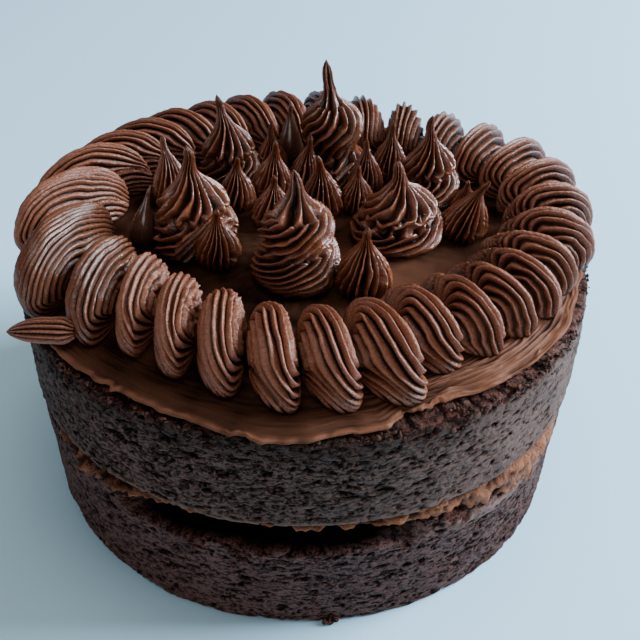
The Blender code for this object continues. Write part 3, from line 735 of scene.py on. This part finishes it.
# The same frosting where the nozzle dragged over it: finer furrows and a wet gloss.
swept_finish = frosting_finish("swept_rope_frosting", ROPE_DARK, SWEPT_LIGHT, 0.2, 0.04, 0.3, 0.55)


def copy_of(blank, name):
    """A copy of a blank, with a mesh of its own."""
    piece = blank.copy()
    piece.data = blank.data.copy()
    piece.name = name
    bpy.context.scene.collection.objects.link(piece)
    return piece


def close_underneath(piece):
    """Draws the open edge of a bent sheet down on to the frosting below and fills the sole."""
    bpy.ops.object.select_all(action="DESELECT")
    piece.select_set(True)
    bpy.context.view_layer.objects.active = piece
    bpy.ops.object.mode_set(mode="EDIT")
    bpy.ops.mesh.select_all(action="SELECT")
    bpy.ops.mesh.region_to_loop()
    bpy.ops.mesh.extrude_edges_move(TRANSFORM_OT_translate={"value": (0, 0, 0)})
    bpy.ops.transform.resize(value=(1, 1, 0), center_override=(0, 0, FLOOR * MM))
    bpy.ops.mesh.edge_face_add()
    leave_closed(0.002 * MM)


seams = [(a + b) / 2 for a, b in zip((TURNS[-1] - 360, *TURNS), (*TURNS, TURNS[0] + 360))]
for i, azimuth_here in enumerate(TURNS):
    coil = copy_of(rope_blank, f"rope_turn_{i + 1:02d}")
    bend_turn(coil, azimuth_here, seams[i], seams[i + 1], i)
    close_underneath(coil)
    swept = SWEPT[0] < azimuth_here < SWEPT[1]
    settle(coil, swept_finish if swept else rope_finish, "piped_frosting", f"border_coil_{i + 1:02d}")
bpy.data.objects.remove(rope_blank, do_unlink=True)

# Rosettes, kisses and peaks: frosting piped upright and pulled up to a thin tip as the nozzle lifted.
# A rosette is two rounds of the star nozzle, one on the other; a kiss is one squeeze, and a smooth peak
# comes from a plain one. A blank drawn upwards from a ring is shaped into each, then furrowed.
LEVELS = 92
SIDES = 144
# Share of the height and of the radius, from the foot up
TWO_TIERS = (
    (0, 0.86), (0.08, 1), (0.2, 0.99), (0.28, 0.86), (0.33, 0.73), (0.38, 0.82), (0.45, 0.78),
    (0.55, 0.57), (0.65, 0.34), (0.74, 0.19), (0.84, 0.13), (0.94, 0.09), (1, 0),
)
BARREL = (
    (0, 0.88), (0.08, 1), (0.2, 0.98), (0.28, 0.88), (0.34, 0.8), (0.4, 0.84), (0.49, 0.83), (0.57, 0.74),
    (0.64, 0.56), (0.71, 0.35), (0.78, 0.22), (0.87, 0.15), (0.94, 0.1), (1, 0),
)
BALL_ON_RING = (
    (0, 0.86), (0.06, 1), (0.15, 0.94), (0.21, 0.68), (0.28, 0.66), (0.38, 0.79), (0.48, 0.8),
    (0.56, 0.68), (0.63, 0.42), (0.69, 0.23), (0.77, 0.16), (0.93, 0.1), (1, 0),
)
KISS = (
    (0, 0.82), (0.11, 1), (0.28, 0.95), (0.46, 0.72), (0.6, 0.46), (0.72, 0.25), (0.82, 0.16),
    (0.93, 0.12), (1, 0),
)
# For each round from the foot up: the share of the height where it starts, its number of ridges, and how
# far they wind round in radians over the full height
BARREL_ROUNDS = ((0, 14, 7.5), (0.32, 12, 6.5), (0.63, 8, 1.2))
SWIRL_ROUNDS = ((0, 11, 7), (0.3, 12, 3.2))
TIER_ROUNDS = ((0, 13, 5.5), (0.33, 14, 1.7))
BALL_ROUNDS = ((0, 9, 9), (0.23, 14, 3.8), (0.64, 7, 0.5))
KISS_ROUNDS = ((0, 17, 0.5),)
PLAIN = ((0, 0, 0),)
# For each: name, middle of its base, radius, height, lean of its tip, depth of its furrows, how far the
# strand climbs in one round as a share of the height, outline and rounds
FIELDS = "name x y radius height lean_x lean_y depth climb outline rounds"
Shape = namedtuple("Shape", FIELDS, defaults=(0, KISS, KISS_ROUNDS))
SHAPES = [
    Shape("rosette_front", -2.5, -16.4, 11.6, 30.5, 0, 0, 1.5, 0.1, BARREL, BARREL_ROUNDS),
    Shape("rosette_left", -30, -1.5, 12, 29.5, 0.5, -1.5, 1.5, 0.1, TWO_TIERS, TIER_ROUNDS),
    Shape("rosette_right", 24.5, 2, 12.8, 23, -0.5, 0, 1.6, 0.14, TWO_TIERS, SWIRL_ROUNDS),
    Shape("rosette_back_right", 34.2, 23.5, 9.3, 25.5, 0, 0, 1.5, 0.12, TWO_TIERS, TIER_ROUNDS),
    Shape("rosette_back", 7.2, 36, 11.3, 36, -1.8, 0, 1.5, 0.06, BALL_ON_RING, BALL_ROUNDS),
    Shape("rosette_back_left", -22.2, 30.8, 9.5, 27, -3, 1, 1.5, 0.12, TWO_TIERS, TIER_ROUNDS),
    Shape("kiss_front_left", -22.7, -10.3, 6.3, 16, 0, 0, 1.7),
    Shape("kiss_front_right", 14.4, -22.2, 7.4, 18.7, 0, 0, 1.9),
    Shape("kiss_right", 42.5, 4.3, 6.7, 16.8, 5.5, 0, 1.6),
    Shape("kiss_01", -19.5, 18, 5.5, 15.5, 0, 0, 1.4),
    Shape("kiss_02", -9.5, 23, 6, 18, 0.5, 0, 1.5),
    Shape("kiss_03", -0.2, 27, 5.3, 17.5, 1, 1, 1.4),
    Shape("kiss_04", 4.6, 15.5, 6.2, 17.5, -2, 0, 1.6),
    Shape("kiss_05", -9, 9.5, 6, 14.5, 0, 0, 1.5),
    Shape("kiss_06", 14, 17, 5.2, 13.5, 0, 0, 1.4),
    Shape("kiss_07", 17, 27, 5.2, 16.5, -0.5, 0, 1.4),
    Shape("kiss_08", 24, 33.5, 5.8, 18, 0.5, 1, 1.5),
    Shape("kiss_09", -10.5, 35.5, 5.2, 17, 0, 0, 1.4),
    Shape("kiss_10", -37.8, 20.8, 5.7, 18, -3, 4.5, 1.5),
    Shape("kiss_11", 44.5, 16.5, 4.6, 9.5, 0, 0, 1.2),
    Shape("peak_back", -5, 43, 4, 20, 0, 0, 0, 0, KISS, PLAIN),
    Shape("peak_left", -43.2, -2, 3.7, 16.5, 3, 1.5, 0, 0, KISS, PLAIN),
]
PRESS_GAP = 0.4
KISS_LIGHT = "#7c452b"
KISS_DARK = "#060201"
PEAK_LIGHT = "#6a4434"
PEAK_DARK = "#2a140e"


def along_curve(rows, share):
    """Reads a short table of (share, value) rows smoothly at many shares at once."""
    places, values = np.array(rows).T
    slopes = np.gradient(values, places)
    i = np.clip(np.searchsorted(places, share, side="right") - 1, 0, len(places) - 2)
    step = places[i + 1] - places[i]
    u = np.clip((share - places[i]) / step, 0, 1)
    start = (2 * u ** 3 - 3 * u ** 2 + 1) * values[i] + (u ** 3 - 2 * u ** 2 + u) * step * slopes[i]
    end = (3 * u ** 2 - 2 * u ** 3) * values[i + 1] + (u ** 3 - u ** 2) * step * slopes[i + 1]
    return np.maximum(start + end, 0)


def axis_at(shape, height):
    """Where a shape's leaning axis stands at each height, and how wide the shape is there."""
    share = np.clip(height / shape.height, 0, 1)
    wide = np.where(height < shape.height, shape.radius * along_curve(shape.outline, share), 0)
    return shape.x + shape.lean_x * share ** 2, shape.y + shape.lean_y * share ** 2, wide


def press_apart(points, own):
    """Flattens a shape against each neighbour, at every height as far as the two would meet there."""
    height = points[:, 2] - FLOOR
    own_x, own_y, own_wide = axis_at(own, height)
    for other in SHAPES:
        apart = math.hypot(other.x - own.x, other.y - own.y)
        if other is own or apart > own.radius + other.radius + 5:
            continue
        other_x, other_y, other_wide = axis_at(other, height)
        away_x = other_x - own_x
        away_y = other_y - own_y
        distance = np.hypot(away_x, away_y)
        away_x /= distance
        away_y /= distance
        limit = distance * (own_wide + 0.3) / (own_wide + other_wide + 0.6) - PRESS_GAP / 2
        reached = (points[:, 0] - own_x) * away_x + (points[:, 1] - own_y) * away_y
        over = np.maximum(reached - limit, 0) * (own_wide + other_wide > distance - 0.6)
        points[:, 0] -= over * away_x
        points[:, 1] -= over * away_y


def carve(piece, pressed):
    """Moves a closed piece's points out along their normals."""
    flat = np.empty(len(piece.data.vertices) * 3)
    piece.data.vertex_normals.foreach_get("vector", flat)
    put_points(piece, points_of(piece) + flat.reshape(-1, 3) * pressed[:, None])


def unrolled(blank):
    """For the points of the unit blank: height as a share, angle round it, and which one is its tip."""
    points = points_of(blank) * MM
    x, y, z = points.T
    return np.clip(z, 0, 1), np.arctan2(y, x), np.hypot(x, y) < 0.5


def pipe_shape(piece, shape, seed):
    """Turns the unit blank into one piped shape: its outline, climbing rounds, lean and furrows."""
    height, depth = shape.height, shape.depth
    share, theta, inner = unrolled(piece)
    turned_by = (theta / math.tau - 0.25) % 1
    climbing = np.where(turned_by < 0.9, turned_by - 0.5, 0.4 - (turned_by - 0.9) * 9)
    level = share - shape.climb * climbing * smooth(0, 0.2, share) * (1 - smooth(0.5, 0.75, share))
    wide = along_curve(shape.outline, level)
    unit = np.column_stack((np.cos(theta) * 9, np.sin(theta) * 9, share * height)) + 50 * seed
    far = shape.radius * wide * (1 + 0.07 * lumps(unit, 7, 63) * (1 - share))
    far[inner] = 0
    x = shape.x + shape.lean_x * share ** 2 + far * np.cos(theta)
    y = shape.y + shape.lean_y * share ** 2 + far * np.sin(theta)
    sway = np.column_stack((share * height, 0 * share + seed, 0 * share))
    wobble = smooth(0.4, 1, share) * 0.7
    x += wobble * lumps(sway, 4, 65)
    y += wobble * lumps(sway, 4, 66)
    points = np.column_stack((x, y, FLOOR + share * height))
    press_apart(points, shape)
    put_points(piece, points)
    profile = np.full(len(share), 0.4)
    for start, ridges, winding in shape.rounds:
        if ridges:
            phase = ridges * (theta - winding * (level - start)) / math.tau + 0.3 * seed + 3 * start
            phase += 0.36 * lumps(unit, 5.5, 61) + 0.16 * lumps(unit, 2.4, 67)
            profile = np.where(level >= start, ridge_profile(phase, 1.7), profile)
    if depth:
        deep = np.minimum(1.55 * depth, 0.46 * shape.radius * wide) * (1 + 0.35 * lumps(unit, 3.5, 62))
        deep *= 0.4 + 0.6 * smooth(0, 0.08, share)
        beads = 0.12 * smooth(0, 0.1, wide) * lumps(unit * [1, 1, 2.5], 1.6, 64)
        carve(piece, np.where(inner, 0, beads - deep * (1 - profile)))
    # Painted shade: shapes towards the back are painted darker and less glossy, and their furrows darker
    # than their ridges.
    write_share(piece, "crest", profile * (1 - 0.3 * smooth(15, 36, shape.y)))


bpy.ops.mesh.primitive_circle_add(vertices=SIDES, radius=1, fill_type="NOTHING", location=(0, 0, 0))
star_blank = bpy.context.object
star_blank.name = "star_blank"
bpy.ops.object.mode_set(mode="EDIT")
for _ in range(LEVELS):
    bpy.ops.mesh.extrude_edges_move(TRANSFORM_OT_translate={"value": (0, 0, 1 / LEVELS)})
bpy.ops.mesh.merge(type="CENTER")
bpy.ops.mesh.select_all(action="DESELECT")
bpy.ops.mesh.select_non_manifold(extend=False, use_wire=False, use_multi_face=False, use_verts=False)
bpy.ops.mesh.edge_face_add()
leave_closed(0.001 * MM)
# Softer frosting from the same nozzle, a shade redder, whose thin ribs and tips let light through.
kiss_finish = frosting_finish("piped_kiss_frosting", KISS_DARK, KISS_LIGHT, 0.18, 0.03, 0.35, 1.1)
# Frosting smoothed by a plain nozzle: glossy and dark.
peak_finish = frosting_finish("smooth_peak_frosting", PEAK_DARK, PEAK_LIGHT, 0.2, 0.1, 0.02, 1.2)
for seed, shape in enumerate(SHAPES):
    topping = copy_of(star_blank, shape.name + "_piped")
    pipe_shape(topping, shape, seed)
    settle(topping, kiss_finish if shape.depth else peak_finish, "piped_frosting", shape.name)

# Rope tail: the short star-shaped end where the rope was begun, sticking out over the rim from under
# the turn beside it. It is the ribbed blank laid on its side and drawn to a point.
TAIL_ROOT = (-53, -44.4)
TAIL_TIP = (-69.8, -42.8)
TAIL_RADIUS = 3.2
TAIL_RIDGES = 13
TAIL_OUTLINE = ((0, 0.5), (0.1, 0.9), (0.35, 1), (0.6, 0.92), (0.82, 0.6), (0.95, 0.24), (1, 0))
tail = copy_of(star_blank, "rope_tail_piped")
share, theta, inner = unrolled(tail)
profile = ridge_profile(TAIL_RIDGES * theta / math.tau - 0.25 * share)
far = TAIL_RADIUS * along_curve(TAIL_OUTLINE, share)
far[inner] = 0
along = np.array(TAIL_TIP) - np.array(TAIL_ROOT)
side = np.array([-along[1], along[0]]) / np.hypot(*along)
place = np.array(TAIL_ROOT) + share[:, None] * along + (far * np.cos(theta))[:, None] * side
level = FLOOR + TAIL_RADIUS * 0.95 * (1 - 0.55 * share ** 2)
height = np.maximum(level + far * np.sin(theta), FLOOR + 0.02 * np.abs(far))
put_points(tail, np.column_stack((place, height)))
carve(tail, np.where(inner, 0, -np.minimum(1.3, 0.35 * far) * (1 - profile)))
write_share(tail, "crest", profile)
settle(tail, rope_finish, "piped_frosting", "rope_tail")
bpy.data.objects.remove(star_blank, do_unlink=True)

# Loose crumbs: bits of sponge broken off the top edge, in clusters where the frosting is drawn back
# from it, with a few caught on the side and at the foot.
CRUMB_COUNT = 420
# One crumb in this many lies in the cluster at the front foot
FOOT_SHARE = 40
bpy.ops.mesh.primitive_ico_sphere_add(subdivisions=2, radius=1, location=(0, 0, 0))
crumb_blank = bpy.context.object
grain_shape = points_of(crumb_blank) * MM
grain_faces = [tuple(face.vertices) for face in crumb_blank.data.polygons]
bpy.data.objects.remove(crumb_blank, do_unlink=True)
draw = np.random.default_rng(7)
crumb_points = []
crumb_faces = []
while len(crumb_points) < CRUMB_COUNT:
    size = 0.2 + 0.42 * draw.random() ** 2
    where = draw.uniform(0, 360)
    thick = near(where, 303, 40) + 0.7 * near(where, 226, 26) + 0.15 * near(where, 340, 25) + 0.05
    cluster = lumps(np.array([[where * 1.3, 5, 5]]), 6, 72)[0]
    if draw.random() > thick * (0.5 + cluster):
        continue
    turn = math.radians(where)
    if len(crumb_points) % FOOT_SHARE == 0:
        size = 0.5 + 0.35 * draw.random()
        turn = math.radians(274.2 + 2.8 * draw.random())
        out = 72.5 + draw.random()
        up = 0.4 + 1.2 * draw.random()
    elif draw.random() < 0.45:
        out = draw.uniform(min(edge_radius(where) - 0.3, 74.5), UPPER_RADIUS)
        up = UPPER_HIGH + 0.1
    else:
        out = UPPER_RADIUS - 0.1 + 0.2 * draw.random()
        up = UPPER_HIGH - 3.5 * draw.random() ** 2
    number = len(crumb_points)
    grain = grain_shape * (1 + 0.4 * lumps(grain_shape * 3 + number * 7, 1.8, 71))[:, None]
    grain = grain * size * draw.uniform(0.5, 1.3, 3)
    crumb_faces += [tuple(v + number * len(grain_shape) for v in face) for face in grain_faces]
    crumb_points.append(grain + [out * math.cos(turn), out * math.sin(turn), up])
crumb_mesh = bpy.data.meshes.new("loose_crumbs")
crumb_mesh.from_pydata((np.concatenate(crumb_points) * MM).tolist(), [], crumb_faces)
crumbs = bpy.data.objects.new("loose_crumbs", crumb_mesh)
bpy.context.scene.collection.objects.link(crumbs)
for name, value in (("hollow", 0), ("film", 0), ("broken", 0.8)):
    write_share(crumbs, name, np.full(len(crumb_mesh.vertices), value))
crumb_mesh.materials.append(upper_crumb)
crumb_mesh.shade_smooth()
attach(crumbs, BODY)

# Studio: a plain pale floor, a large soft light from the right as from a window, weak warm ones from
# above and low in front, a faint cool one from the left, and the camera at the photograph's angle.
FLOOR_COLOUR = "#bee9ff"
bpy.ops.mesh.primitive_plane_add(size=6, location=(0, 0, 0))
ground = bpy.context.object
ground.name = "ground"
# Matt pale paint.
ground_finish, tree = new_finish("matt_pale_floor")
shader = add_node(tree, "BsdfPrincipled", {"Base Color": linear(FLOOR_COLOUR), "Roughness": 0.75}, {})
add_node(tree, "OutputMaterial", {}, {"Surface": shader})
ground.data.materials.append(ground_finish)

world = bpy.data.worlds.new("room")
world.use_nodes = True
background = world.node_tree.nodes["Background"].inputs
background["Color"].default_value = linear("#dcd2c8")
background["Strength"].default_value = 0.1
bpy.context.scene.world = world
# Square area lights that face the cake: name, place and size in metres, watts, colour
for name, place, size, power, colour in (
    ("window", (1.07, 0.24, 0.7), 0.7, 56, "#e0f0ff"),
    ("ceiling", (0, 0, 1.2), 0.6, 5, "#fff8f2"),
    ("front", (-0.15, -1.15, 0.36), 0.6, 4, "#fff6f2"),
    ("left", (-1.1, -0.15, 0.3), 0.4, 1.5, "#cfe6ff"),
):
    lamp = bpy.data.lights.new(name, "AREA")
    lamp.size = size
    lamp.energy = power
    lamp.color = linear(colour)[:3]
    holder = bpy.data.objects.new(name, lamp)
    holder.location = place
    holder.rotation_euler = (Vector((0, 0, 0.06)) - Vector(place)).to_track_quat("-Z", "Y").to_euler()
    bpy.context.scene.collection.objects.link(holder)

# The camera stands 312 mm from the cake's foot, 43.5 degrees up, and is turned a little off it.
CAMERA_DISTANCE = 0.31193
CAMERA_RISE = 0.7599
CAMERA_TURNS = ((-0.00882, "Z"), (-0.10303, "X"), (0.01483, "Y"))
camera = bpy.data.cameras.new("photo_camera")
camera.sensor_width = 36
camera.lens = 56.25
camera.clip_start = 0.01
stand = bpy.data.objects.new("photo_camera", camera)
position = Vector((0, -math.cos(CAMERA_RISE), math.sin(CAMERA_RISE))) * CAMERA_DISTANCE
towards_camera = position.normalized()
right = Vector((1, 0, 0))
aim = Matrix((right, towards_camera.cross(right), towards_camera))
roll, tilt, turn = (Matrix.Rotation(angle, 3, axis) for angle, axis in CAMERA_TURNS)
stand.matrix_world = Matrix.Translation(position) @ (roll @ tilt @ turn @ aim).transposed().to_4x4()
bpy.context.scene.collection.objects.link(stand)
bpy.context.scene.camera = stand
